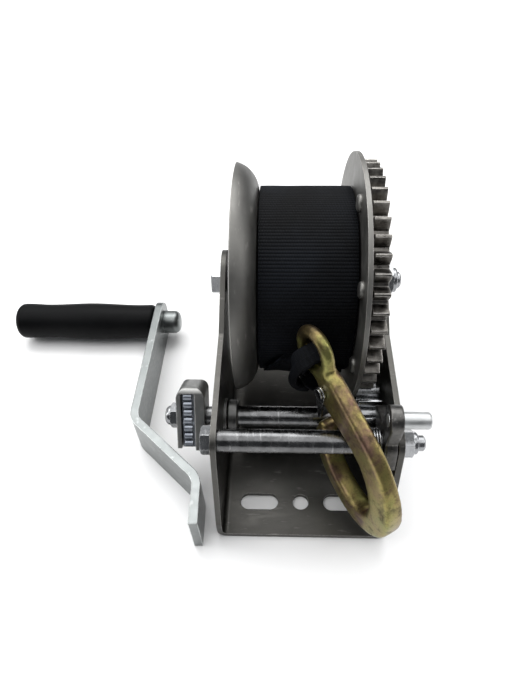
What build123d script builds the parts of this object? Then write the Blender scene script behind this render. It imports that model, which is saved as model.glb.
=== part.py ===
from build123d import *
import math
import os

# Hand winch for a boat trailer, in millimetres.
# X runs along the drum, +Y is the back, +Z is up. The origin is the middle mounting hole, on the
# underside of the base. Points written as pairs are (Y, Z) unless a function says otherwise.

# Steel frame: a sheet bent into a U
sheet = 3.0
frame_width = 96.0
bend_radius = 6.0
base_front = -20.0
base_rear = 122.0
base_side_height = 15.0
outer_x = frame_width / 2
inner_x = outer_x - sheet

# Axes that cross the frame
tie_axis = (3.5, 66.0)
shaft_axis = (34.0, 43.0)
gear_module = 2.85
gear_teeth = 46
pinion_teeth = 12
gear_line_angle = 33.1
gear_centre_distance = gear_module * (gear_teeth + pinion_teeth) / 2
drum_axis = (
    shaft_axis[0] + gear_centre_distance * math.cos(math.radians(gear_line_angle)),
    shaft_axis[1] + gear_centre_distance * math.sin(math.radians(gear_line_angle)),
)
nose_radius = 9.5
lobe_radius = 17.5
step_axis = (66.0, 73.0)
step_radius = 10.0

# Mounting holes in the base
hole_radius = 4.75
rear_hole_y = 100.0
slot_width = 10.0
slot_length = 22.5
slot_offset = 24.6

# Gear teeth
pressure_angle = 25.0
tooth_thinning = 0.3
first_tooth_angle = 83.0
gear_x = (30.8, 38.8)
gear_hub_radius = 61.8
pinion_x = (30.0, 43.0)

# Drum
core_radius = 17.0
core_bore = 14.0
flange_sheet = 2.4
right_flange_x = 26.7
right_flange_radius = 72.5
left_root_x = -26.0
left_flange_radius = 67.0
left_flat_radius = 51.0
left_roll_radius = 16.5
strap_x = (-25.6, 26.0)
strap_radius = 54.4
rivet_angles = (9.5, 99.5, 144.5, 189.5, 279.5, 324.5)
rivet_circle = 59.6
rivet_shank = 1.9
rivet_head = 4.6
rivet_head_height = 2.2
rivet_dome_radius = 1.8
strap_pin_radius = 4.0
strap_pin_circle = 24.0
strap_pin_angle = 60.0

# Bolts: shank radius, hexagon across flats, head height, nut height
tie_shank, tie_hex, tie_head, tie_nut_height = 4.0, 13.0, 5.3, 8.0
drum_shank, drum_hex, drum_head, drum_nut_height = 5.0, 17.0, 6.4, 8.4
bolt_clearance = 0.2
tie_overhang, drum_overhang = 3.7, 2.5
tie_tube_radius = 6.0
tie_tube_end = 37.9
sleeve_radius = 8.0
running_gap = 0.05
tie_turn, drum_turn = 42.0, 12.0
tie_nut_turn, drum_nut_turn = 15.0, 5.0
nut_hex_share = 0.68
core_bush_length = 16.0

# Crank shaft and its bushes
shaft_radius = 6.0
bush_radius = 8.0
bush_flange_radius = 10.5
bush_flange = 1.7
collar_radius = 9.5
collar_length = 6.0
side_gap = 0.3
neck_radius = 5.5
stud_radius = 4.0
ring_thickness = 1.0
ring_radius = 8.5
ring_groove_radius = 5.0
shaft_end = 2.0
neck_start = 1.0
collar_chamfer = 0.8

# Bracket that takes the crank, on the left end of the shaft
bracket_x = (-71.5, -55.5)
bracket_outer_leg = 2.6
bracket_inner_leg = 5.6
bracket_top = 20.0
bracket_half_depth = 10.0
bracket_outer_foot = -16.3
bracket_inner_foot = -17.5
bracket_lean = -33.0
strip_ridges = 7
strip_width = 7.0
strip_depth = 7.6
ridge_radius = 2.2
strip_hub_radius = 8.0
nut_hex = 13.0
nut_height = 4.6
dome_radius = 5.7
dome_height = 3.4
dome_round = 3.0
stud_in_dome = 1.5
shaft_nut_turn = 20.0
bracket_web = 3.0
bracket_round = 6.0
bracket_side_round = 4.0
bracket_foot_cut = 4.0

# Pawl
pawl_x = (38.2, 44.6)
pawl_hub_radius = 9.5
pawl_bore = tie_shank + running_gap
finger_offset = (0.5, 19.5)
finger_radius = 4.2
finger_head_radius = 7.5
finger_end_x = 58.5
pawl_tooth_gap = 2.1
toe_reach = 21.5
toe_angle = 34.0
toe_radius = 2.0
pawl_neck_radius = 6.0
pawl_tail_angle = 105.0
pawl_tail_radius = 3.0
finger_round = 1.4
finger_shank = 3.2
spring_wire = 0.6
spring_coil_radius = 7.0
spring_x = (33.2, 37.0)
spring_pitch = 2.2 * spring_wire

# Hook, in its own upright plane that crosses the tie tube. Points here are (U, V): U runs back and
# to the left in the plane, V is up, and both are measured from the middle of the tie tube.
hook_turn = 31.0
hook_cross_x = 20.7
hook_thickness = 11.0
shank_thickness = 8.5
shank_foot = 8.0
bowl_top = -16.0
hook_neck = (25.0, 30.5)
hook_shoulder = (-12.2, 13.2)
hook_front = (-35.5, -18.0)
hook_bottom = (-14.0, -39.5)
hook_rear = (16.0, -13.0)
hook_point = (16.0, -4.0)
neck_width = 11.0
shoulder_width = 17.0
front_width = 14.5
bottom_width = 13.5
rear_width = 9.0
point_width = 6.5
hook_steps = 6
eye_centre = (33.0, 37.0)
eye_ring_radius = 11.0
eye_bar_radius = 3.7
hook_reach = 80.0
lower_lug = (18.0, 19.5)
lower_lug_radius = 5.5
upper_lug = (17.0, 30.0)
upper_lug_radius = 6.0
latch_pivot = (19.0, 23.0)
latch_end = (17.5, 5.0)
latch_sheet = 1.0
latch_ear_radius = 3.6
latch_pin_radius = 1.8
latch_head_radius = 3.0
latch_head = 1.0
latch_web = (1.6, 7.0)

# Strap tail, sewn round the hook's eye
tail_thickness = 2.4
tail_width = 46.0
tail_gap = 0.6
tail_eye_width = 18.0
tail_eye_thickness = 11.0
tail_loop_radius = 10.5
tail_loop_width = 11.0

# Crank, lying on the surface beside the winch. Plan points are (X, Y).
crank_sheet = 5.0
crank_width = 31.0
crank_arm_x = -103.0
crank_path = [(crank_arm_x, 151.0), (crank_arm_x, 40.5), (-59.5, 1.0), (-58.5, -26.0)]
crank_bend = 12.0
crank_corner = 13.0
spindle_y = 138.0
spindle_radius = 5.0
spindle_head_radius = 8.6
spindle_head = 12.0
spindle_collar_radius = 7.0
spindle_collar = 3.0
grip_length = 105.0
grip_closed_end = 10.0
crank_grip_gap = 1.0
grip_clearance = 0.08
grip_round = 4.5
spindle_round = 4.5

# The grip's side, from its closed end: (share of the length, radius)
grip_profile = [(0.0, 13.0), (0.07, 13.2), (0.18, 12.7), (0.52, 13.8), (0.88, 12.7), (1.0, 13.2)]


def slab(face, x_low, x_high):
    """A flat piece cut to a (Y, Z) outline, between two X values."""
    return extrude(Plane.YZ.offset(x_low) * face, x_high - x_low)


def disc(axis, radius, x_low, x_high):
    """A round bar along X, at an axis given as (Y, Z)."""
    return slab(Pos(*axis) * Circle(radius), x_low, x_high)


def tube(axis, radius, bore, x_low, x_high):
    """A hollow round bar along X."""
    return slab(Pos(*axis) * (Circle(radius) - Circle(bore)), x_low, x_high)


def hexagon(axis, across_flats, x_low, x_high, turn=0.0):
    """A hexagonal bar along X, with its corners chamfered at both ends."""
    bar = slab(Pos(*axis) * Rot(0, 0, turn) * RegularPolygon(across_flats / 2, 6, False), x_low, x_high)
    corner = across_flats / math.sqrt(3)
    return bar & chamfer(disc(axis, corner, x_low, x_high).edges().filter_by(GeomType.CIRCLE), corner * 0.08)


def polar(radius, angle):
    """A point at a radius and an angle in degrees."""
    turn = math.radians(angle)
    return (radius * math.cos(turn), radius * math.sin(turn))


def involute(angle):
    """The involute function, for an angle in radians."""
    return math.tan(angle) - angle


def half_tooth(teeth, radius):
    """Half of a tooth's width at a radius, as an angle in degrees."""
    pitch_radius = gear_module * teeth / 2
    pressure = math.radians(pressure_angle)
    base_radius = pitch_radius * math.cos(pressure)
    local = math.acos(min(1.0, base_radius / radius))
    at_pitch = math.pi / (2 * teeth) - tooth_thinning / (2 * pitch_radius)
    return math.degrees(at_pitch + involute(pressure) - involute(local))


def gear_outline(teeth, phase):
    """Involute gear outline about the origin, with one tooth pointing along the phase angle."""
    tip = gear_module * (teeth / 2 + 1)
    root = gear_module * (teeth / 2 - 1.25)
    base_radius = gear_module * teeth / 2 * math.cos(math.radians(pressure_angle))
    start = max(root, base_radius)
    middle = (start + tip) / 2
    pitch_angle = 360 / teeth
    edges = []
    for tooth in range(teeth):
        centre = phase + tooth * pitch_angle
        before = [polar(r, centre - half_tooth(teeth, r)) for r in (start, middle, tip)]
        after = [polar(r, centre + half_tooth(teeth, r)) for r in (tip, middle, start)]
        low_before = polar(root, centre - half_tooth(teeth, start))
        low_after = polar(root, centre + half_tooth(teeth, start))
        next_low = polar(root, centre + pitch_angle - half_tooth(teeth, start))
        if start > root:
            edges.append(Line(low_before, before[0]))
        edges.append(ThreePointArc(*before))
        edges.append(ThreePointArc(before[2], polar(tip, centre), after[0]))
        edges.append(ThreePointArc(*after))
        if start > root:
            edges.append(Line(after[2], low_after))
        edges.append(ThreePointArc(low_after, polar(root, centre + pitch_angle / 2), next_low))
    return make_face(Wire(edges))


def pinion_phase():
    """Angle of a pinion tooth that puts the pinion in mesh with the ring gear."""
    towards_shaft = gear_line_angle + 180
    pitch_angle = 360 / gear_teeth
    offset = (first_tooth_angle - towards_shaft) % pitch_angle
    return gear_line_angle + 180 / pinion_teeth - offset * gear_teeth / pinion_teeth


def channel(width, height, corner, floor):
    """A block as long as the base, with rounded lower edges along Y."""
    length = base_rear - base_front
    block = Pos(0, (base_front + base_rear) / 2, floor + height / 2) * Box(width, length, height)
    return fillet(block.edges().filter_by(Axis.Y).group_by(Axis.Z)[0], corner)


def side_outline():
    """The frame from the side: a low base, a nose round the tie bolt and a lobe round the drum bolt."""
    nose = Pos(*tie_axis) * Circle(nose_radius)
    step = Pos(*step_axis) * Circle(step_radius)
    lobe = Pos(*drum_axis) * Circle(lobe_radius)
    low = Pos(base_front, 0) * Rectangle(base_rear - base_front, base_side_height, align=Align.MIN)
    rear = Pos(drum_axis[0], 0) * Rectangle(base_rear - drum_axis[0], base_side_height, align=Align.MIN)
    front_part = make_hull((nose + low).edges() + step.edges())
    rear_part = make_hull((lobe + rear).edges() + step.edges())
    return front_part + rear_part


def frame():
    """The bent frame with its mounting holes and the holes for the three axes."""
    tall = drum_axis[1] + lobe_radius
    body = channel(frame_width, tall, bend_radius, 0)
    body -= channel(frame_width - 2 * sheet, tall, bend_radius - sheet, sheet)
    body &= slab(side_outline(), -outer_x, outer_x)
    body -= disc(tie_axis, tie_shank + bolt_clearance, -outer_x, outer_x)
    body -= disc(drum_axis, drum_shank + bolt_clearance, -outer_x, outer_x)
    body -= disc(shaft_axis, bush_radius, -outer_x, outer_x)
    holes = [Pos(0, 0), Pos(0, rear_hole_y)]
    cuts = Sketch() + [place * Circle(hole_radius) for place in holes]
    cuts += [Pos(side * slot_offset, 0) * SlotOverall(slot_length, slot_width) for side in (-1, 1)]
    return body - extrude(cuts, sheet)


def shaft_bushes():
    """Two flanged bushes that line the shaft holes, with their flanges inside the frame."""
    bore = shaft_radius + running_gap
    bushes = []
    for side in (-1, 1):
        sleeve_x = sorted((side * inner_x, side * outer_x))
        flange_x = sorted((side * inner_x, side * (inner_x - bush_flange)))
        bush = tube(shaft_axis, bush_radius, bore, *sleeve_x)
        bushes.append(bush + tube(shaft_axis, bush_flange_radius, bore, *flange_x))
    return bushes


def bolt(axis, shank, across_flats, head, thread, turn):
    """A hexagon bolt with its head on the left and a length of thread outside the right plate."""
    end = outer_x + thread
    body = hexagon(axis, across_flats, -outer_x - head, -outer_x, turn)
    stem = disc(axis, shank, -outer_x, end)
    return body + chamfer(stem.faces().sort_by(Axis.X)[-1].edges(), shank * 0.2)


def nut(axis, shank, across_flats, height, turn):
    """A lock nut on the right: a hexagon with a rounded collar at its outer end."""
    hex_height = height * nut_hex_share
    body = hexagon(axis, across_flats, outer_x, outer_x + hex_height, turn)
    collar = disc(axis, across_flats * 0.44, outer_x + hex_height, outer_x + height)
    body += fillet(collar.faces().sort_by(Axis.X)[-1].edges(), height * 0.15)
    return body - disc(axis, shank, outer_x, outer_x + height)


def tie_bolt():
    return bolt(tie_axis, tie_shank, tie_hex, tie_head, tie_nut_height + tie_overhang, tie_turn)


def tie_nut():
    return nut(tie_axis, tie_shank, tie_hex, tie_nut_height, tie_nut_turn)


def tie_tube():
    """Spacer tube that keeps the two side plates apart, up to the pawl."""
    return tube(tie_axis, tie_tube_radius, tie_shank + bolt_clearance, -inner_x, tie_tube_end)


def drum_bolt():
    return bolt(drum_axis, drum_shank, drum_hex, drum_head, drum_nut_height + drum_overhang, drum_turn)


def drum_nut():
    return nut(drum_axis, drum_shank, drum_hex, drum_nut_height, drum_nut_turn)


def drum_sleeve():
    """Fixed sleeve round the drum bolt, on which the drum turns."""
    return tube(drum_axis, sleeve_radius, drum_shank + bolt_clearance, -inner_x, inner_x)


def drum_core():
    """Tube that joins the two flanges."""
    low = left_root_x - flange_sheet
    return tube(drum_axis, core_radius, core_bore, low, right_flange_x + flange_sheet)


def drum_bushes():
    """Two bearing bushes, one in each end of the core."""
    low = left_root_x - flange_sheet
    high = right_flange_x + flange_sheet
    bore = sleeve_radius + running_gap
    return [tube(drum_axis, core_bore, bore, low, low + core_bush_length),
            tube(drum_axis, core_bore, bore, high - core_bush_length, high)]


def flange_roll(radius):
    """Arc of the flange's rolled rim: it starts at the flat part and ends at the rim's height."""
    centre_x = left_root_x - left_roll_radius
    finish_angle = math.asin((left_flange_radius - left_flat_radius) / left_roll_radius)
    spots = [polar(radius, math.degrees(finish_angle) * share) for share in (0, 0.5, 1)]
    return ThreePointArc(*[(centre_x + x, left_flat_radius + rise) for x, rise in spots])


def left_flange():
    """Dished flange: flat beside the strap, then rolled outwards at the rim."""
    face = flange_roll(left_roll_radius)
    back = flange_roll(left_roll_radius - flange_sheet)
    root = (left_root_x, core_radius)
    back_root = (left_root_x - flange_sheet, core_radius)
    edges = [Line(root, face @ 0), face, Line(face @ 1, back @ 1), back, Line(back @ 0, back_root)]
    section = make_face(Wire([*edges, Line(back_root, root)]))
    dish = revolve(Plane.XY * section, Axis.X, 360)
    return Pos(0, *drum_axis) * dish - strap_pin_hole(left_root_x - flange_sheet, left_root_x)


def right_flange():
    """Flat flange that carries the ring gear."""
    high = right_flange_x + flange_sheet
    disc_body = tube(drum_axis, right_flange_radius, core_radius, right_flange_x, high)
    disc_body -= strap_pin_hole(right_flange_x, high)
    return disc_body - rivet_group(rivet_shank, right_flange_x, high)


def around(axis, radius, angle):
    """A (Y, Z) point at a radius and angle about an axis."""
    y, z = polar(radius, angle)
    return (axis[0] + y, axis[1] + z)


def rivet_group(radius, x_low, x_high):
    """Round bars at every rivet position."""
    spots = [around(drum_axis, rivet_circle, angle) for angle in rivet_angles]
    return Part() + [disc(spot, radius, x_low, x_high) for spot in spots]


def gear_rivets():
    """Rivets with domed heads on the strap's side, which hold the ring gear to the flange."""
    rivets = []
    for angle in rivet_angles:
        spot = around(drum_axis, rivet_circle, angle)
        dome = disc(spot, rivet_head, right_flange_x - rivet_head_height, right_flange_x)
        dome = fillet(dome.faces().sort_by(Axis.X)[0].edges(), rivet_dome_radius)
        rivets.append(dome + disc(spot, rivet_shank, right_flange_x, gear_x[1]))
    return rivets


def ring_gear():
    """Punched ring gear, with a hub face that stands against the flange."""
    teeth = slab(Pos(*drum_axis) * gear_outline(gear_teeth, first_tooth_angle), *gear_x)
    hub = disc(drum_axis, gear_hub_radius, right_flange_x + flange_sheet, gear_x[1])
    body = teeth + hub - disc(drum_axis, core_radius, right_flange_x, gear_x[1])
    return body - rivet_group(rivet_shank, right_flange_x, gear_x[1])


def strap_pin_spot():
    return around(drum_axis, strap_pin_circle, strap_pin_angle)


def strap_pin_hole(x_low, x_high):
    return disc(strap_pin_spot(), strap_pin_radius, x_low, x_high)


def strap_pin():
    """Cross pin between the flanges that holds the inner end of the strap."""
    return strap_pin_hole(left_root_x - flange_sheet, right_flange_x + flange_sheet)


def wound_strap():
    """The strap on the drum, wound from the core outwards."""
    roll = tube(drum_axis, strap_radius, core_radius, *strap_x)
    return roll - strap_pin_hole(*strap_x)


def crank_shaft():
    """Shaft with a narrower neck and a threaded stud on the left."""
    ring_low = outer_x + side_gap
    right_end = ring_low + ring_thickness + shaft_end
    neck_x = -outer_x - neck_start
    body = disc(shaft_axis, shaft_radius, neck_x, right_end)
    body -= tube(shaft_axis, shaft_radius, ring_groove_radius, ring_low, ring_low + ring_thickness)
    body += disc(shaft_axis, neck_radius, bracket_x[1], neck_x)
    stud_end = bracket_x[0] - nut_height - stud_in_dome
    return body + disc(shaft_axis, stud_radius, stud_end, bracket_x[1])


def drive_pinion():
    """Pinion that drives the ring gear and that the pawl catches."""
    outline = Pos(*shaft_axis) * (gear_outline(pinion_teeth, pinion_phase()) - Circle(shaft_radius))
    return slab(outline, *pinion_x)


def shaft_collar():
    """Collar beside the left bush."""
    low = -inner_x + bush_flange + side_gap
    ring = tube(shaft_axis, collar_radius, shaft_radius, low, low + collar_length)
    return chamfer(ring.edges().filter_by(GeomType.CIRCLE).sort_by(SortBy.RADIUS)[-2:], collar_chamfer)


def retaining_ring():
    low = outer_x + side_gap
    return tube(shaft_axis, ring_radius, ring_groove_radius, low, low + ring_thickness)


def on_shaft(solid):
    """Put a piece drawn about the origin on the shaft, leaning back."""
    return Pos(0, *shaft_axis) * Rot(bracket_lean, 0, 0) * solid


def crank_bracket():
    """Folded bracket: a thin outer leg, a rounded top and a thick inner leg, open at the foot."""
    low, high = bracket_x
    tall = bracket_top - bracket_inner_foot
    middle = (low + high) / 2
    block = Pos(middle, 0, (bracket_top + bracket_inner_foot) / 2)
    block *= Box(high - low, 2 * bracket_half_depth, tall)
    block = fillet(block.edges().filter_by(Axis.Y).group_by(Axis.Z)[-1], bracket_round)
    side_view = Rectangle(2 * bracket_half_depth, tall, align=(Align.CENTER, Align.MIN))
    side_view = Pos(0, bracket_inner_foot) * side_view
    side_view = fillet(side_view.vertices().group_by(Axis.Y)[-1], bracket_side_round)
    block &= slab(side_view, low, high)
    gap_low = low + bracket_outer_leg
    gap_high = high - bracket_inner_leg
    gap_top = bracket_top - bracket_web
    gap = Pos((gap_low + gap_high) / 2, 0, gap_top - tall / 2)
    gap *= Box(gap_high - gap_low, 3 * bracket_half_depth, tall)
    foot = Box(2 * bracket_outer_leg, 3 * bracket_half_depth, bracket_foot_cut)
    foot = Pos(low, 0, bracket_outer_foot - bracket_foot_cut / 2) * foot
    hole = disc((0, 0), stud_radius, low, high)
    return on_shaft(block - gap - foot - hole)


def serrated_strip():
    """Toothed strip in the bracket's gap, with rounded ridges across its front."""
    gap_low = bracket_x[0] + bracket_outer_leg
    gap_high = bracket_x[1] - bracket_inner_leg
    middle = (gap_low + gap_high) / 2
    top = bracket_top - bracket_web
    height = top - bracket_outer_foot
    core = Pos(middle, 0, (top + bracket_outer_foot) / 2) * Box(strip_width, 2 * strip_depth, height)
    core += disc((0, 0), strip_hub_radius, middle - strip_width / 2, middle + strip_width / 2)
    pitch = height / strip_ridges
    for n in range(strip_ridges):
        centre = (-strip_depth, bracket_outer_foot + (n + 0.5) * pitch)
        core += disc(centre, ridge_radius, middle - strip_width / 3, middle + strip_width / 3)
    return on_shaft(core - disc((0, 0), stud_radius, gap_low, gap_high))


def shaft_nut():
    """Domed nut that clamps the bracket on the stud."""
    seat = bracket_x[0]
    body = hexagon((0, 0), nut_hex, seat - nut_height, seat, shaft_nut_turn)
    dome = disc((0, 0), dome_radius, seat - nut_height - dome_height, seat - nut_height)
    body += fillet(dome.faces().sort_by(Axis.X)[0].edges(), dome_round)
    return on_shaft(body - disc((0, 0), stud_radius, seat - nut_height - stud_in_dome, seat))


def finger_spot():
    return (tie_axis[0] + finger_offset[0], tie_axis[1] + finger_offset[1])


def pawl():
    """Two-way pawl: a hub on the tie bolt, an upper head for the finger pin, and two toes."""
    hub = Pos(*tie_axis) * Circle(pawl_hub_radius)
    head = Pos(*finger_spot()) * Circle(finger_head_radius)
    neck = Pos(tie_axis[0] + finger_offset[0], tie_axis[1]) * Circle(pawl_neck_radius)
    arm = make_hull(neck.edges() + head.edges())
    towards = math.degrees(math.atan2(shaft_axis[1] - tie_axis[1], shaft_axis[0] - tie_axis[0]))
    spots = [around(tie_axis, toe_reach, towards + side * toe_angle) for side in (-1, 1)]
    toes = [Pos(*spot) * Circle(toe_radius) for spot in spots]
    fan = make_hull(hub.edges() + toes[0].edges() + toes[1].edges())
    tail_spot = around(tie_axis, pawl_hub_radius + pawl_tail_radius / 2, towards - pawl_tail_angle)
    tail = Pos(*tail_spot) * Circle(pawl_tail_radius)
    fan += make_hull(hub.edges() + tail.edges())
    clear = gear_module * (pinion_teeth / 2 + 1) + pawl_tooth_gap
    outline = arm + hub + fan - Pos(*shaft_axis) * Circle(clear)
    outline -= Pos(*tie_axis) * Circle(pawl_bore)
    outline -= Pos(*finger_spot()) * Circle(finger_shank)
    return slab(outline, *pawl_x)


def pawl_finger_pin():
    """Round finger pin that reaches out over the right side plate."""
    seat = pawl_x[1]
    pin = disc(finger_spot(), finger_radius, seat, finger_end_x)
    pin = fillet(pin.faces().sort_by(Axis.X)[-1].edges(), finger_round)
    return pin + disc(finger_spot(), finger_shank, pawl_x[0], seat)


def pawl_spring():
    """Wire spring coiled loosely round the tie tube beside the pawl."""
    coil = Helix(spring_pitch, spring_x[1] - spring_x[0], spring_coil_radius)
    section = Plane(coil @ 0, z_dir=coil % 0) * Circle(spring_wire)
    wire = sweep(section, path=coil, is_frenet=True)
    return Pos(spring_x[0], *tie_axis) * Rot(0, 90, 0) * wire


def hook_plane():
    """The hook's plane: local X is U, local Y is V, and the origin is inside the tie tube."""
    turn = math.radians(hook_turn)
    back = Vector(-math.sin(turn), math.cos(turn), 0)
    out = back.cross(Vector(0, 0, 1))
    return Plane(origin=(hook_cross_x, *tie_axis), x_dir=back, z_dir=out)


def hook_slab(face, low, high):
    """A piece cut to a (U, V) outline, between two distances from the hook's plane."""
    return extrude(hook_plane().offset(low) * face, high - low)


def hook_line():
    """Middle line of the hook's bar, from the eye round the bowl to the point, with its widths."""
    shank = Line(hook_neck, hook_shoulder)
    front = TangentArc(hook_shoulder, hook_front, tangent=shank % 1)
    low = TangentArc(hook_front, hook_bottom, tangent=front % 1)
    rear = TangentArc(hook_bottom, hook_rear, tangent=low % 1)
    point = Line(hook_rear, hook_point)
    widths = [neck_width, shoulder_width, front_width, bottom_width, rear_width, point_width]
    return zip([shank, front, low, rear, point], widths, widths[1:])


def hook_bar():
    """Outline of the hook's bar, which swells from the neck to the bottom and narrows to the point."""
    bar = Sketch()
    for edge, start_width, end_width in hook_line():
        discs = []
        for step in range(hook_steps + 1):
            share = step / hook_steps
            spot = edge @ share
            width = start_width + (end_width - start_width) * share
            discs.append(Pos(spot.X, spot.Y) * Circle(width / 2))
        for before, after in zip(discs, discs[1:]):
            bar += make_hull(before.edges() + after.edges())
    lower = Pos(*lower_lug) * Circle(lower_lug_radius)
    upper = Pos(*upper_lug) * Circle(upper_lug_radius)
    shoulder = Pos(*hook_shoulder) * Circle(shoulder_width / 2)
    return bar + make_hull(lower.edges() + upper.edges() + shoulder.edges())


def hook_taper():
    """Block that leaves the hook thin along its shank and thick round its bowl."""
    plane = hook_plane()
    side = Plane(origin=plane.origin, x_dir=plane.z_dir, z_dir=-plane.x_dir)
    thin = shank_thickness / 2
    thick = hook_thickness / 2
    right = [(thick, -hook_reach), (thick, bowl_top), (thin, shank_foot), (thin, hook_reach)]
    left = [(-across, up) for across, up in reversed(right)]
    return extrude(side * make_face(Polyline(*right, *left, close=True)), hook_reach, both=True)


def hook():
    """Forged hook: a round eye, a flat shank over the tie tube and a thick bowl in front of it."""
    half = hook_thickness / 2
    outline = hook_bar() - Pos(*eye_centre) * Circle(eye_ring_radius)
    body = hook_slab(outline, -half, half) & hook_taper()
    body += hook_plane().location * Pos(*eye_centre) * Torus(eye_ring_radius, eye_bar_radius)
    return body - hook_slab(Pos(*latch_pivot) * Circle(latch_pin_radius), -half, half)


def latch_rivet():
    """Rivet across the hook on which the latch turns, with a head outside each ear."""
    seat = shank_thickness / 2 + latch_sheet + 2 * side_gap
    pin = hook_slab(Pos(*latch_pivot) * Circle(latch_pin_radius), -seat, seat)
    for low in (-seat - latch_head, seat):
        pin += hook_slab(Pos(*latch_pivot) * Circle(latch_head_radius), low, low + latch_head)
    return pin


def safety_latch():
    """Sheet latch: an ear on each side of the shank, joined by a web that closes the hook's mouth."""
    inner = shank_thickness / 2 + side_gap
    outer = inner + latch_sheet
    end = Pos(*latch_end) * Circle(latch_sheet)
    ear = make_hull((Pos(*latch_pivot) * Circle(latch_ear_radius)).edges() + end.edges())
    ear -= Pos(*latch_pivot) * Circle(latch_pin_radius + running_gap)
    web_top = (latch_end[0] + latch_web[0], latch_end[1] + latch_web[1])
    web = make_hull((Pos(*web_top) * Circle(latch_sheet / 2)).edges() + end.edges())
    return hook_slab(ear, -outer, -inner) + hook_slab(ear, inner, outer) + hook_slab(web, -outer, outer)


def strap_tail():
    """End of the strap: it leaves the roll, narrows, and is sewn round the rear of the hook's eye."""
    eye = hook_plane().from_local_coords(Vector(*eye_centre))
    to_eye = (eye.Y - drum_axis[0], eye.Z - drum_axis[1])
    reach = strap_radius + tail_gap + tail_thickness / 2
    turn = math.degrees(math.atan2(to_eye[1], to_eye[0]) + math.acos(reach / math.hypot(*to_eye)))
    leave = Vector(0, *around(drum_axis, reach, turn))
    centre = Vector(eye.X, eye.Y, eye.Z)
    along = (centre - leave).normalized()
    finish = centre - along * eye_ring_radius
    across = Vector(1, 0, 0) - along * along.X
    broad = Plane(origin=leave, x_dir=across, z_dir=along) * Rectangle(tail_width, tail_thickness)
    narrow = Plane(origin=finish, x_dir=across, z_dir=along) * Rectangle(tail_eye_width, tail_eye_thickness)
    ring_line = along.cross(hook_plane().z_dir).normalized()
    start = finish - ring_line * tail_loop_width / 2
    loop = Plane(origin=start, z_dir=ring_line) * Circle(tail_loop_radius)
    tail = loft([broad, narrow]) + extrude(loop, tail_loop_width)
    return tail - hook()


def crank_arm():
    """Flat bar bent twice, standing on its edge, with rounded ends and a hole for the spindle."""
    line = FilletPolyline(*crank_path, radius=crank_bend)
    bar = extrude(trace(line, crank_sheet), crank_width)
    ends = bar.edges().filter_by(Axis.X).sort_by(Axis.Y)
    rear = [edge for edge in ends if edge.center().Y > spindle_y]
    bar = fillet(rear, crank_corner)
    return bar - spindle_bar(spindle_radius, crank_arm_x - crank_sheet, crank_arm_x + crank_sheet)


def spindle_bar(radius, x_low, x_high):
    return disc((spindle_y, crank_width / 2), radius, x_low, x_high)


def crank_spindle():
    """Spindle for the grip: a domed head inside the arm and a collar that keeps the grip on."""
    seat = crank_arm_x + crank_sheet / 2
    head = spindle_bar(spindle_head_radius, seat, seat + spindle_head)
    head = fillet(head.faces().sort_by(Axis.X)[-1].edges(), spindle_round)
    collar_high = grip_high() - grip_length + grip_closed_end + spindle_collar
    shank = spindle_bar(spindle_radius, collar_high - spindle_collar, seat)
    return head + shank + spindle_bar(spindle_collar_radius, collar_high - spindle_collar, collar_high)


def grip_high():
    """Where the grip's inner end is."""
    return crank_arm_x - crank_sheet / 2 - crank_grip_gap


def crank_grip():
    """Moulded grip, fuller in the middle, that spins on the spindle."""
    high = grip_high()
    low = high - grip_length
    side = Spline(*[(low + share * grip_length, radius) for share, radius in grip_profile])
    rest = Polyline(side @ 1, (high, 0), (low, 0), side @ 0)
    body = revolve(Plane.XY * make_face(Wire([side, *rest.edges()])), Axis.X, 360)
    body = Pos(0, spindle_y, crank_width / 2) * body
    body = fillet(body.edges().filter_by(GeomType.CIRCLE), grip_round)
    cavity_low = low + grip_closed_end - side_gap
    cavity_high = low + grip_closed_end + spindle_collar + side_gap
    body -= spindle_bar(spindle_radius + grip_clearance, cavity_low, high)
    return body - spindle_bar(spindle_collar_radius + grip_clearance, cavity_low, cavity_high)


parts = {
    "frame": frame,
    "shaft_bushes": shaft_bushes,
    "tie_bolt": tie_bolt,
    "tie_nut": tie_nut,
    "tie_tube": tie_tube,
    "drum_bolt": drum_bolt,
    "drum_nut": drum_nut,
    "drum_sleeve": drum_sleeve,
    "drum_core": drum_core,
    "drum_bushes": drum_bushes,
    "left_flange": left_flange,
    "right_flange": right_flange,
    "gear_rivets": gear_rivets,
    "ring_gear": ring_gear,
    "strap_pin": strap_pin,
    "wound_strap": wound_strap,
    "crank_shaft": crank_shaft,
    "drive_pinion": drive_pinion,
    "shaft_collar": shaft_collar,
    "retaining_ring": retaining_ring,
    "crank_bracket": crank_bracket,
    "serrated_strip": serrated_strip,
    "shaft_nut": shaft_nut,
    "pawl": pawl,
    "pawl_finger_pin": pawl_finger_pin,
    "pawl_spring": pawl_spring,
    "hook": hook,
    "latch_rivet": latch_rivet,
    "safety_latch": safety_latch,
    "strap_tail": strap_tail,
    "crank_arm": crank_arm,
    "crank_spindle": crank_spindle,
    "crank_grip": crank_grip,
}

os.makedirs("parts", exist_ok=True)
for name, make in parts.items():
    made = make()
    solids = made if isinstance(made, list) else [made]
    export_step(Compound(children=[s for piece in solids for s in piece.solids()]), f"parts/{name}.step")
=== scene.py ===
"""Looks of the boat trailer winch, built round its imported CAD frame. Lengths are in millimetres until a
mesh is made, and MM turns them into Blender's metres."""

import math

import bpy
from mathutils import Matrix, Vector, noise


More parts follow.
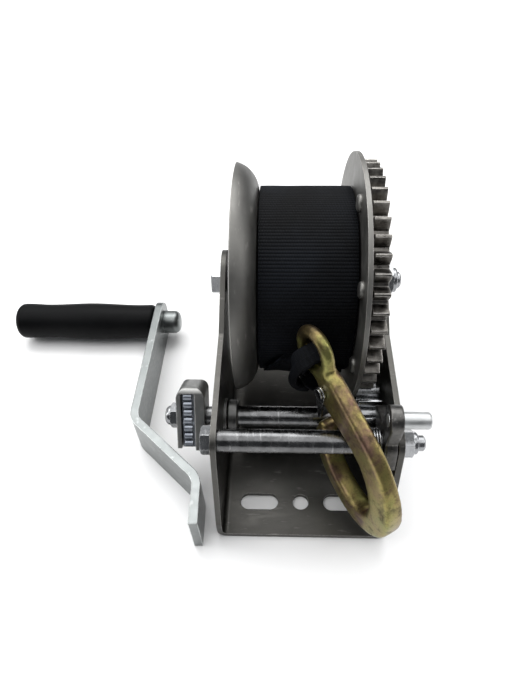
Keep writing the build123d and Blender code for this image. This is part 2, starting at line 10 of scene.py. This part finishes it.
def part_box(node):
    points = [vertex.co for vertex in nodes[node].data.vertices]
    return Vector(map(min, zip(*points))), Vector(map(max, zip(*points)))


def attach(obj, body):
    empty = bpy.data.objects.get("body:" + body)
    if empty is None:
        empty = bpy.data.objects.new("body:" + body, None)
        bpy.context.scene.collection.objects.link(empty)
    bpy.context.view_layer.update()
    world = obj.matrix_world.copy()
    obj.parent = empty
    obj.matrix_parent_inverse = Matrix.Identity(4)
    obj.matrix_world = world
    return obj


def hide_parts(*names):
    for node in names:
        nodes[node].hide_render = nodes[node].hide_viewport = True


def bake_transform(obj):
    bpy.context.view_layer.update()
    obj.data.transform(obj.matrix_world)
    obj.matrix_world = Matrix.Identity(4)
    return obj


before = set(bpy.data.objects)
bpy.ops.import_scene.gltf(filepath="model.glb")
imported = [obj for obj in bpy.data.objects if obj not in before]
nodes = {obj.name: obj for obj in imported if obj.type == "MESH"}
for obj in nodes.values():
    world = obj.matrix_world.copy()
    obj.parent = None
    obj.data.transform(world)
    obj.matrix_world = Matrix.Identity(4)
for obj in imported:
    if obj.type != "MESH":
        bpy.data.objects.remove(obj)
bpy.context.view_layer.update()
MM = 0.001

# ---------------------------------------------------------------- places taken from the frame
roll_low, roll_high = (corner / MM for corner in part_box("wound_strap"))
drum_centre = (roll_low + roll_high) / 2
roll_radius = (roll_high.z - roll_low.z) / 2
core_radius = (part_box("drum_core")[1].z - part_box("drum_core")[0].z) / 2 / MM
tube_low, tube_high = (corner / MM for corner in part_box("tie_tube"))
tie_centre = (tube_low + tube_high) / 2

# The hook's own plane, as the CAD source has it
hook_turn = math.radians(31.0)
hook_cross_x = 20.7
eye_spot = (33.0, 37.0)
eye_ring_radius = 11.0
eye_bar_radius = 3.7
hook_back = Vector((-math.sin(hook_turn), math.cos(hook_turn), 0))
hook_out = Vector((math.cos(hook_turn), math.sin(hook_turn), 0))
hook_origin = Vector((hook_cross_x, tie_centre.y, tie_centre.z))
eye_centre = hook_origin + hook_back * eye_spot[0] + Vector((0, 0, eye_spot[1]))

# The webbing and its weave
web_thickness = 1.2
web_width = 50.0
rib_pitch = 1.9
rib_depth = 0.34
warp_pitch = 0.8
tail_clearance = 0.6

# Studio floor
floor_half, floor_gap = 3000.0, 0.2

# Lights and camera, in metres and degrees
studio_centre = (0, 0.04, 0.06)
camera_place = (-0.016, -0.1305, 0.2875)
camera_pitch, camera_turn, camera_roll = 48.5, 2.18, -1.11
camera_sensor, camera_focal_share = 36, 500 / 700


# ---------------------------------------------------------------- node graphs
class Graph:
    """A material and the few node calls that the recipes below share."""

    def __init__(self, name):
        self.material = bpy.data.materials.new(name)
        self.material.use_nodes = True
        self.tree = self.material.node_tree
        self.shader = self.tree.nodes["Principled BSDF"]
        self.place = self.add("ShaderNodeTexCoord").outputs["Object"]

    def add(self, kind, **settings):
        node = self.tree.nodes.new(kind)
        for key, value in settings.items():
            setattr(node, key, value)
        return node

    def feed(self, socket, value):
        if isinstance(value, bpy.types.NodeSocket):
            self.tree.links.new(value, socket)
        else:
            socket.default_value = value

    def set(self, **values):
        for key, value in values.items():
            self.feed(self.shader.inputs[key.replace("_", " ")], value)

    def math(self, operation, first, second=0.0, third=0.0):
        node = self.add("ShaderNodeMath", operation=operation)
        for socket, value in zip(node.inputs, (first, second, third)):
            self.feed(socket, value)
        return node.outputs[0]

    def stretched(self, x, y, z):
        """Object coordinates scaled along each axis, for grain and scratches."""
        node = self.add("ShaderNodeMapping")
        self.feed(node.inputs["Vector"], self.place)
        node.inputs["Scale"].default_value = (x, y, z)
        return node.outputs[0]

    def noise(self, scale, detail=3.0, roughness=0.55, distortion=0.0, where=None):
        node = self.add("ShaderNodeTexNoise")
        self.feed(node.inputs["Vector"], where or self.place)
        node.inputs["Scale"].default_value = scale
        node.inputs["Detail"].default_value = detail
        node.inputs["Roughness"].default_value = roughness
        node.inputs["Distortion"].default_value = distortion
        return node.outputs["Fac"]

    def cells(self, scale, where=None):
        node = self.add("ShaderNodeTexVoronoi")
        self.feed(node.inputs["Vector"], where or self.place)
        node.inputs["Scale"].default_value = scale
        return node.outputs["Distance"]

    def span(self, value, low, high, new_low=0.0, new_high=1.0):
        """A value stretched from one range to another, and held inside it."""
        node = self.add("ShaderNodeMapRange")
        for socket, number in zip(node.inputs, (value, low, high, new_low, new_high)):
            self.feed(socket, number)
        return node.outputs["Result"]

    def ramp(self, value, *stops):
        """Colours along a value, each stop given as (place, colour)."""
        node = self.add("ShaderNodeValToRGB")
        self.feed(node.inputs["Fac"], value)
        while len(node.color_ramp.elements) < len(stops):
            node.color_ramp.elements.new(0.5)
        for element, (position, colour) in zip(node.color_ramp.elements, stops):
            element.position = position
            element.color = (*colour, 1)
        return node.outputs["Color"]

    def mix(self, share, first, second):
        node = self.add("ShaderNodeMix", data_type="RGBA")
        self.feed(node.inputs["Factor"], share)
        for socket, colour in zip((node.inputs[6], node.inputs[7]), (first, second)):
            self.feed(socket, colour if isinstance(colour, bpy.types.NodeSocket) else (*colour, 1))
        return node.outputs[2]

    def rounded(self, radius):
        """Normals softened along edges, as on a deburred part."""
        node = self.add("ShaderNodeBevel", samples=6)
        node.inputs["Radius"].default_value = radius * MM
        return node.outputs[0]

    def edges(self, softened):
        """1 along edges and 0 on flat faces."""
        normal = self.add("ShaderNodeNewGeometry").outputs["Normal"]
        node = self.add("ShaderNodeVectorMath", operation="DOT_PRODUCT")
        self.feed(node.inputs[0], softened)
        self.feed(node.inputs[1], normal)
        return self.span(node.outputs["Value"], 0.995, 0.86)

    def bump(self, height, depth, strength=1.0, normal=None):
        node = self.add("ShaderNodeBump")
        node.inputs["Strength"].default_value = strength
        node.inputs["Distance"].default_value = depth * MM
        self.feed(node.inputs["Height"], height)
        if normal:
            self.feed(node.inputs["Normal"], normal)
        return node.outputs[0]


# ---------------------------------------------------------------- metals
def metal(name, dark, light, rough, edge, edge_radius=0.5, grain=(1, 1, 1), pits=0.02, mottle=60.0):
    """Plated or rolled steel: mottled tone, directional grain, fine pits and brighter worn edges."""
    g = Graph(name)
    softened = g.rounded(edge_radius)
    worn = g.edges(softened)
    breakup = g.noise(900, 2)
    worn = g.math("MULTIPLY", worn, g.span(breakup, 0.3, 0.6, 0.35, 1.0))
    tone = g.noise(mottle, 5, 0.62)
    scratch = g.noise(420, 3, 0.5, where=g.stretched(*grain))
    colour = g.mix(g.span(tone, 0.3, 0.72), dark, light)
    colour = g.mix(g.span(scratch, 0.62, 0.8, 0.0, 0.35), colour, edge)
    colour = g.mix(worn, colour, edge)
    gloss = g.math("ADD", g.span(tone, 0.3, 0.7, rough[0], rough[1]), g.span(scratch, 0.3, 0.7, -0.05, 0.06))
    relief = g.math("ADD", g.math("MULTIPLY", scratch, 0.6), g.noise(1500, 2))
    g.set(Base_Color=colour, Metallic=1.0, Roughness=gloss, Normal=g.bump(relief, pits, 0.6, softened))
    return g


def frame_steel():
    """Satin dark zinc on bent sheet, brighter where it was sheared."""
    g = metal("frame_steel", (0.066, 0.0645, 0.06), (0.108, 0.105, 0.098), (0.38, 0.5), (0.42, 0.41, 0.39),
              edge_radius=0.45, grain=(0.25, 1, 1), pits=0.012, mottle=28.0)
    return g.material


def flange_steel():
    """The drum's flanges: brushed satin grey, with a few small rust spots near the rims."""
    g = metal("flange_steel", (0.145, 0.143, 0.135), (0.22, 0.216, 0.205), (0.44, 0.56), (0.55, 0.53, 0.5),
              edge_radius=0.35, grain=(1, 0.25, 0.25), pits=0.01, mottle=22.0)
    metal_colour = g.shader.inputs["Base Color"].links[0].from_socket
    spots = g.span(g.noise(70, 3, 0.7), 0.74, 0.79)
    rust = g.mix(g.noise(700, 3), (0.16, 0.06, 0.02), (0.34, 0.15, 0.06))
    g.set(Base_Color=g.mix(spots, metal_colour, rust), Metallic=g.span(spots, 0, 1, 1.0, 0.1))
    return g.material


def gear_steel():
    """Raw punched steel: dark with bright smeared tooth edges."""
    g = metal("gear_steel", (0.04, 0.037, 0.034), (0.24, 0.228, 0.21), (0.24, 0.5), (0.75, 0.73, 0.69),
              edge_radius=0.6, grain=(0.15, 1, 1), pits=0.08, mottle=260.0)
    return g.material


def bright_zinc(name="bright_zinc", pits=0.012):
    """Clear bright zinc plate, with a slightly blue tone and fine sparkle."""
    g = metal(name, (0.2, 0.205, 0.212), (0.36, 0.366, 0.374), (0.18, 0.3), (0.72, 0.73, 0.74),
              edge_radius=0.4, grain=(1, 0.3, 0.3), pits=pits, mottle=120.0)
    return g.material


def drawn_tube():
    """Zinc on drawn bar and tube: darker between its highlights, with fine lines round it."""
    g = metal("drawn_tube", (0.07, 0.07, 0.071), (0.18, 0.181, 0.184), (0.17, 0.3), (0.62, 0.62, 0.62),
              edge_radius=0.4, grain=(1, 0.2, 0.2), pits=0.02, mottle=160.0)
    return g.material


def pin_zinc_painted_lit():
    """Matt zinc on the pawl's finger pin, painted paler than the other zinc as painted light where the pin
    is strongly lit.
    """
    # Painted light: these pale colours stand in for the strong light on the pin; only its matt roughness is
    # its own.
    g = metal("pin_zinc_painted_lit", (0.42, 0.43, 0.43), (0.58, 0.59, 0.59), (0.42, 0.55), (0.8, 0.8, 0.8),
              edge_radius=0.8, pits=0.04, mottle=90.0)
    return g.material


def crank_zinc():
    """Matt silver zinc on the crank's bar and spindle."""
    g = metal("crank_zinc", (0.14, 0.15, 0.148), (0.21, 0.221, 0.219), (0.28, 0.38), (0.85, 0.88, 0.87),
              edge_radius=0.8, grain=(0.4, 0.4, 1), pits=0.01, mottle=35.0)
    return g.material


def cast_steel():
    """Cast pawl with a grainy plated skin."""
    g = metal("cast_steel", (0.05, 0.048, 0.046), (0.14, 0.137, 0.132), (0.28, 0.46), (0.55, 0.54, 0.52),
              edge_radius=0.9, grain=(1, 1, 1), pits=0.1, mottle=150.0)
    return g.material


def bracket_steel():
    """Satin grey on the folded crank bracket, rubbed pale along its bends."""
    g = metal("bracket_steel", (0.15, 0.152, 0.148), (0.25, 0.25, 0.244), (0.3, 0.42), (0.55, 0.55, 0.54),
              edge_radius=0.9, grain=(1, 1, 0.3), pits=0.015, mottle=45.0)
    return g.material


def strip_steel():
    """Blue-grey ridged strip between the bracket's cheeks."""
    g = metal("strip_steel", (0.16, 0.175, 0.205), (0.28, 0.3, 0.335), (0.3, 0.42), (0.75, 0.78, 0.84),
              edge_radius=0.6, grain=(1, 1, 1), pits=0.01, mottle=90.0)
    return g.material


def bush_steel():
    """Dull steel on the shaft's bushes and collar."""
    g = metal("bush_steel", (0.07, 0.07, 0.069), (0.14, 0.139, 0.136), (0.32, 0.48), (0.4, 0.39, 0.38),
              edge_radius=0.3, pits=0.03, mottle=200.0)
    return g.material


def chromate():
    """Yellow chromate on a forging: olive and gold, drifting to green, pink and brown, with dark scale."""
    g = Graph("chromate")
    softened = g.rounded(1.0)
    broad = g.noise(13, 2, 0.5, 0.4)
    drift = g.math("ADD", g.math("MULTIPLY", broad, 0.7), g.math("MULTIPLY", g.noise(70, 5, 0.65, 0.5), 0.3))
    film = g.ramp(g.span(drift, 0.36, 0.64),
                  (0.0, (0.045, 0.03, 0.018)), (0.22, (0.13, 0.1, 0.04)), (0.42, (0.22, 0.215, 0.07)),
                  (0.6, (0.27, 0.22, 0.08)), (0.78, (0.15, 0.09, 0.065)), (1.0, (0.045, 0.03, 0.02)))
    speck = g.span(g.noise(1100, 4, 0.7), 0.54, 0.66)
    scale = g.span(g.noise(120, 7, 0.72), 0.5, 0.66, 0.0, 0.8)
    tint = g.span(g.noise(33, 3, 0.6, 1.0), 0.56, 0.66, 0.0, 0.5)
    colour = g.mix(tint, film, (0.24, 0.12, 0.12))
    colour = g.mix(scale, colour, (0.04, 0.03, 0.018))
    colour = g.mix(g.math("MULTIPLY", speck, 0.5), colour, (0.07, 0.055, 0.028))
    worn = g.math("MULTIPLY", g.edges(softened), g.span(g.noise(300, 2), 0.35, 0.6, 0.2, 0.9))
    colour = g.mix(worn, colour, (0.5, 0.45, 0.3))
    relief = g.math("ADD", g.noise(420, 5, 0.65), g.math("MULTIPLY", g.noise(60, 3), 1.5))
    g.set(Base_Color=colour, Metallic=0.9, Roughness=g.span(scale, 0, 0.75, 0.33, 0.52),
          Normal=g.bump(relief, 0.14, 0.55, softened))
    return g.material


# ---------------------------------------------------------------- plastics and webbing
def grip_plastic():
    """Black moulded grip with a fine leather-like grain and faint scuffs."""
    g = Graph("grip_plastic")
    grain = g.cells(1250, where=g.stretched(0.75, 1, 1))
    scuff = g.noise(34, 5, 0.6)
    g.set(Base_Color=g.mix(g.span(scuff, 0.4, 0.7), (0.0016, 0.0017, 0.002), (0.0036, 0.0038, 0.0042)),
          Roughness=g.span(scuff, 0.35, 0.7, 0.42, 0.56), Specular_IOR_Level=0.07,
          Normal=g.bump(g.math("ADD", grain, g.noise(2600, 2)), 0.035, 0.5))
    return g.material


def nylon():
    """Matt black nylon on the drum's hidden bushes."""
    g = Graph("nylon")
    g.set(Base_Color=g.mix(g.noise(300, 3), (0.02, 0.02, 0.02), (0.05, 0.05, 0.05)), Roughness=0.6,
          Normal=g.bump(g.noise(1400, 2), 0.02, 0.5))
    return g.material


def webbing():
    """Black polyester webbing, with painted shade in the hollows of its weave. The weave follows the strap,
    from its along and across attribute.
    """
    g = Graph("webbing")
    weave = g.add("ShaderNodeAttribute", attribute_name="weave")
    parts = g.add("ShaderNodeSeparateXYZ")
    g.feed(parts.inputs[0], weave.outputs["Vector"])
    along, across = parts.outputs[0], parts.outputs[1]
    rib = g.math("MULTIPLY", along, 1 / rib_pitch)
    row = g.math("FLOOR", rib)
    crown = g.math("ABSOLUTE", g.math("SINE", g.math("MULTIPLY", rib, math.pi)))
    yarn_turn = g.math("MULTIPLY_ADD", across, 2 * math.pi / warp_pitch, g.math("MULTIPLY", row, math.pi))
    yarn = g.math("MULTIPLY_ADD", g.math("SINE", yarn_turn), 0.5, 0.5)
    twist = g.noise(3.1, 2, 0.6, where=weave.outputs["Vector"])
    height = g.math("ADD", g.math("MULTIPLY", yarn, 0.6), g.math("MULTIPLY", crown, 0.4))
    height = g.math("ADD", height, g.math("MULTIPLY", twist, 0.35))
    # Painted shade: the colour follows the weave's height, darker in the hollows between yarns and ribs and
    # lighter on their crowns, times a random tone.
    shade = g.math("MULTIPLY", height, g.span(g.noise(24, 3), 0.35, 0.65, 0.45, 1.25))
    colour = g.mix(g.span(shade, 0.35, 1.25), (0.0009, 0.001, 0.0014), (0.007, 0.0088, 0.0125))
    g.set(Base_Color=colour, Roughness=g.span(yarn, 0, 1, 0.82, 0.56), Specular_IOR_Level=0.1,
          Normal=g.bump(height, 0.16, 0.8))
    return g.material


def floor_paint():
    """Even pale paint."""
    g = Graph("floor_paint")
    g.set(Base_Color=g.mix(g.noise(3, 2), (0.86, 0.86, 0.86), (0.89, 0.89, 0.89)), Roughness=0.6)
    return g.material


# ---------------------------------------------------------------- mesh helpers
def add_mesh(name, points, faces, material, weave=None):
    """A smooth mesh object from points in millimetres."""
    mesh = bpy.data.meshes.new(name)
    mesh.from_pydata([Vector(point) * MM for point in points], [], faces)
    mesh.polygons.foreach_set("use_smooth", [True] * len(mesh.polygons))
    mesh.materials.append(material)
    if weave:
        attribute = mesh.attributes.new("weave", "FLOAT_VECTOR", "POINT")
        attribute.data.foreach_set("vector", [number for spot in weave for number in (*spot, 0.0)])
    mesh.validate()
    obj = bpy.data.objects.new(name, mesh)
    bpy.context.scene.collection.objects.link(obj)
    return obj


def grid_faces(rows, columns, close_rows=False, close_columns=False):
    """Quads over a grid of points stored row by row."""
    faces = []
    for row in range(rows if close_rows else rows - 1):
        for column in range(columns if close_columns else columns - 1):
            next_row, next_column = (row + 1) % rows, (column + 1) % columns
            faces.append((row * columns + column, row * columns + next_column,
                          next_row * columns + next_column, next_row * columns + column))
    return faces


def freeze(obj):
    """Replace an object's mesh by what its modifiers make of it."""
    bpy.context.view_layer.update()
    graph = bpy.context.evaluated_depsgraph_get()
    shaped = obj.evaluated_get(graph)
    made = bpy.data.meshes.new_from_object(shaped, preserve_all_data_layers=True, depsgraph=graph)
    obj.modifiers.clear()
    obj.data = made
    return obj


# ---------------------------------------------------------------- the strap on the drum
def on_drum(x, radius, angle):
    return (x, drum_centre.y + radius * math.cos(angle), drum_centre.z + radius * math.sin(angle))


def roll_face(material):
    """The outermost turn: ribs across the strap, and a rounded selvedge at each side."""
    ribs = round(2 * math.pi * roll_radius / rib_pitch)
    samples_per_rib, spans_across = 8, 12
    count = ribs * samples_per_rib
    side_gap, lip, rim_drop, shoulder_drop = 0.3, 0.35, 1.1, 0.05
    half = (roll_high.x - roll_low.x) / 2 - side_gap
    profile = [(-half, rim_drop), (-half, lip), (-half + lip, shoulder_drop)]
    profile += [(-half + 2 * half * step / spans_across, 0.0) for step in range(1, spans_across)]
    profile += [(half - lip, shoulder_drop), (half, lip), (half, rim_drop)]
    clearance, wander_depth, sag_depth = 0.05, 0.25, 0.18
    points, weave = [], []
    for sample in range(count + 1):
        angle = 2 * math.pi * sample / count
        along = sample / samples_per_rib * rib_pitch
        crown = abs(math.sin(math.pi * sample / samples_per_rib)) ** 0.7
        for x, drop in profile:
            wander = wander_depth * noise.noise(Vector((x / 17, along / 23, 3.1)))
            sag = sag_depth * (1 + noise.noise(Vector((x / 11, along / 9, 8.7))))
            radius = roll_radius - clearance - drop - rib_depth * (1 - crown) - sag
            points.append(on_drum(drum_centre.x + x + wander, radius, angle))
            weave.append((along, x))
    return add_mesh("strap_outer_turn", points, grid_faces(count + 1, len(profile)), material, weave)


def roll_turns(material):
    """The turns below it, seen from the sides as stacked edges that wander a little."""
    turns = int((roll_radius - core_radius) / web_thickness)
    steps = 220
    core_gap, side_gap, cover, edge_wander, climb_share = 0.15, 0.55, 1.0, 0.42, 0.5
    # Each corner of a turn's edge: how far up the thickness, and how far in from the side
    rounded_edge = [(0.06, 0.55), (0.3, 0.12), (0.85, 0.12), (1.1, 0.55)]
    profile = [(turn, core_radius + core_gap + turn * web_thickness + rise, inset)
               for turn in range(turns) for rise, inset in rounded_edge]
    ring = [(-1, *entry) for entry in profile] + [(1, *entry) for entry in reversed(profile)]
    half = (roll_high.x - roll_low.x) / 2 - side_gap
    points, weave = [], []
    for step in range(steps):
        angle = 2 * math.pi * step / steps
        climb = web_thickness * step / steps * climb_share
        for side, turn, radius, inset in ring:
            spot = Vector((math.cos(angle) * 1.3, math.sin(angle) * 1.3, turn * 0.9 + side * 40))
            x = drum_centre.x + side * (half - inset) + edge_wander * noise.noise(spot)
            points.append(on_drum(x, min(radius + climb, roll_radius - cover), angle))
            weave.append((angle * radius, x + radius * 3))
    return add_mesh("strap_turns", points, grid_faces(steps, len(ring), True, True), material, weave)


# ---------------------------------------------------------------- the sewn end of the strap
def tail_frame():
    """Where the strap leaves the roll, and the directions along it and through the hook's eye."""
    to_eye = Vector((0, eye_centre.y - drum_centre.y, eye_centre.z - drum_centre.z))
    reach = roll_radius + tail_clearance + web_thickness
    turn = math.atan2(to_eye.z, to_eye.y) + math.acos(reach / to_eye.length)
    leave = Vector(on_drum(0, reach, turn))
    along = (eye_centre - leave).normalized()
    through = (hook_out - along * hook_out.dot(along)).normalized()
    return leave, along, through


def spline_at(stops, place):
    """A smooth value for every column of a list of stops, at a place counted in stops."""
    run = len(stops) - 1
    at = min(place, run - 1e-6)
    first, share = int(at), at - int(at)
    near = [stops[min(max(first + offset, 0), run)] for offset in (-1, 0, 1, 2)]
    return [0.5 * (2 * q + (r - p) * share + (2 * p - 5 * q + 4 * r - s) * share**2
                   + (3 * q - p - 3 * r + s) * share**3) for p, q, r, s in zip(*near)]


def pleat(place, count, height, half):
    """Where a spot across the strap lies once the strap is folded like a fan: (across, up)."""
    sharpness, peak = 0.94, 1.22
    wave = math.asin(sharpness * math.sin(math.pi * count * place)) / peak
    return half * place, height * wave


def strap_tail(material):
    """One run of webbing: flat off the roll, folded like a fan, through the eye and sewn back on itself."""
    leave, along, through = tail_frame()
    ring_line = along.cross(through)
    ring = eye_centre - along * eye_ring_radius
    away = Vector((1, 0, 0)).cross(along)
    if away.dot(leave - drum_centre) < 0:
        away = -away
    reach = (ring - leave).length
    inside, side = eye_bar_radius + 5.2, 7.6
    # Each stop: along, through and away from the ring bar's middle, half width, pleat height, share folded
    stops = [(-reach, 0, 0, 22.5, 0.2, 0), (-reach + 7, 0, 0.4, 21, 0.7, 0),
             (-reach + 15, 1.5, 2.2, 15, 2.6, 0.4), (-11, 5.4, 2.4, 8, 4.2, 0.85),
             (-4, side, 0.6, 3.6, 5.0, 1), (3, side - 0.6, 0, 2.9, 5.0, 1),
             (inside, 3.6, 0, 2.7, 4.8, 1), (inside, -3.6, 0, 2.7, 4.8, 1),
             (3, 0.6 - side, 0, 2.9, 5.0, 1), (-4, -side, 0.6, 3.6, 5.0, 1),
             (-12, -5.2, 2.4, 7, 4.2, 0.85), (-20, -2.2, 3.0, 11, 3.0, 0.5)]
    pleats, columns, steps = 2, 65, 15
    crumple_depth, crumples_across, crumple_run = 0.3, 4, 6
    points, weave, travelled, last = [], [], 0.0, None
    rows = (len(stops) - 1) * steps + 1
    for row in range(rows):
        a, t, o, half, height, fold = spline_at(stops, row / steps)
        centre = ring + along * a + through * t + away * o
        ahead = [high - low for low, high in zip(spline_at(stops, max(row - 1, 0) / steps)[:3],
                                                 spline_at(stops, (row + 1) / steps)[:3])]
        heading = (along * ahead[0] + through * ahead[1] + away * ahead[2]).normalized()
        travelled += (centre - last).length if last else 0.0
        last = centre
        upward = away.lerp(ring_line, fold)
        rise = (upward - heading * heading.dot(upward)).normalized()
        across = rise.cross(heading).normalized()
        for column in range(columns):
            place = column / (columns - 1) * 2 - 1
            sideways, up = pleat(place, pleats, height, half)
            spot = Vector((place * crumples_across, travelled / crumple_run, 1.7))
            points.append(centre + across * sideways + rise * (up + crumple_depth * noise.noise(spot)))
            weave.append((travelled, place * web_width / 2))
    obj = add_mesh("strap_end", points, grid_faces(rows, columns), material, weave)
    skin = obj.modifiers.new("skin", "SOLIDIFY")
    skin.thickness = web_thickness * MM
    skin.offset = 0
    freeze(obj)
    obj.data.polygons.foreach_set("use_smooth", [True] * len(obj.data.polygons))
    return obj, leave, ring, travelled


# ---------------------------------------------------------------- finishes on the CAD nodes
def finish_node(name, material):
    slots = nodes[name].data.materials
    slots.clear()
    slots.append(material)


def smooth_forging(name, voxel, rounds):
    """Round a CAD node's edges as a forging die leaves them, with modifiers only."""
    remesh = nodes[name].modifiers.new("skin", "REMESH")
    remesh.mode = "VOXEL"
    remesh.voxel_size = voxel * MM
    remesh.use_smooth_shade = True
    relax = nodes[name].modifiers.new("relax", "SMOOTH")
    relax.factor = 0.5
    relax.iterations = rounds


black_webbing = webbing()
finishes = {
    frame_steel(): ["frame", "drum_core"],
    flange_steel(): ["left_flange", "right_flange", "gear_rivets"],
    gear_steel(): ["ring_gear"],
    bright_zinc(): ["tie_bolt", "tie_nut", "drum_bolt", "drum_nut", "strap_pin", "retaining_ring",
                    "pawl_spring", "latch_rivet", "safety_latch"],
    bright_zinc("dull_zinc", 0.05): ["drive_pinion", "shaft_nut"],
    drawn_tube(): ["tie_tube", "drum_sleeve", "crank_shaft"],
    pin_zinc_painted_lit(): ["pawl_finger_pin"],
    crank_zinc(): ["crank_arm", "crank_spindle"],
    bush_steel(): ["shaft_bushes", "shaft_collar"],
    nylon(): ["drum_bushes"],
    bracket_steel(): ["crank_bracket"],
    strip_steel(): ["serrated_strip"],
    cast_steel(): ["pawl"],
    chromate(): ["hook"],
    grip_plastic(): ["crank_grip"],
}
for material, names in finishes.items():
    for name in names:
        finish_node(name, material)

smooth_forging("hook", 0.7, 70)
smooth_forging("pawl", 0.5, 4)

# ---------------------------------------------------------------- the strap's own pieces
outer_turn = roll_face(black_webbing)
inner_turns = roll_turns(black_webbing)
for piece in (outer_turn, inner_turns):
    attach(piece, "drum")
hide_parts("wound_strap")

strap_end, tail_start, tail_ring, tail_length = strap_tail(black_webbing)
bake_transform(strap_end)
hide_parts("strap_tail")


# ---------------------------------------------------------------- floor, light and camera
def soft_light(name, place, size, power):
    """A soft box that points at the middle of the object."""
    light = bpy.data.lights.new(name, "AREA")
    light.shape = "RECTANGLE"
    light.size, light.size_y = size
    light.energy = power
    obj = bpy.data.objects.new(name, light)
    obj.location = place
    obj.rotation_mode = "QUATERNION"
    obj.rotation_quaternion = (Vector(studio_centre) - Vector(place)).to_track_quat("-Z", "Y")
    bpy.context.scene.collection.objects.link(obj)
    return obj


def floor():
    signs = [(-1, -1), (1, -1), (1, 1), (-1, 1)]
    corners = [(x * floor_half, y * floor_half, -floor_gap) for x, y in signs]
    return add_mesh("floor", corners, [(0, 1, 2, 3)], floor_paint())


def wide_sun(name, direction, angle, strength):
    """A broad even light, so the floor stays plain white and shadows stay soft."""
    light = bpy.data.lights.new(name, "SUN")
    light.energy = strength
    light.angle = math.radians(angle)
    obj = bpy.data.objects.new(name, light)
    obj.rotation_mode = "QUATERNION"
    obj.rotation_quaternion = Vector(direction).to_track_quat("-Z", "Y")
    bpy.context.scene.collection.objects.link(obj)
    return obj


floor()
wide_sun("key_sun", (0.12, -0.3, -1), 100, 3.5)
soft_light("overhead", (-0.1, 0.5, 0.9), (0.9, 0.5), 5)
soft_light("left_strip", (-0.9, 0.0, 0.45), (0.25, 0.7), 2.5)
soft_light("right_strip", (0.8, 0.1, 0.5), (0.25, 0.7), 2.0)
world = bpy.data.worlds.new("studio")
world.use_nodes = True
world.node_tree.nodes["Background"].inputs["Color"].default_value = (0.92, 0.95, 1, 1)
world.node_tree.nodes["Background"].inputs["Strength"].default_value = 0.16
bpy.context.scene.world = world
bpy.context.scene.view_settings.view_transform = "Standard"


def photo_camera():
    """Above the front, looking steeply down, at the photograph's angle."""
    pitch, turn, roll = (math.radians(angle) for angle in (camera_pitch, camera_turn, camera_roll))
    ahead = Vector((-math.sin(turn) * math.cos(pitch), math.cos(turn) * math.cos(pitch), -math.sin(pitch)))
    camera = bpy.data.cameras.new("camera")
    camera.lens = camera_sensor * camera_focal_share
    camera.sensor_width = camera_sensor
    camera.clip_start = 0.01
    obj = bpy.data.objects.new("camera", camera)
    obj.location = camera_place
    obj.rotation_mode = "QUATERNION"
    obj.rotation_quaternion = ahead.to_track_quat("-Z", "Y") @ Matrix.Rotation(roll, 3, "Z").to_quaternion()
    bpy.context.scene.collection.objects.link(obj)
    bpy.context.scene.camera = obj


photo_camera()
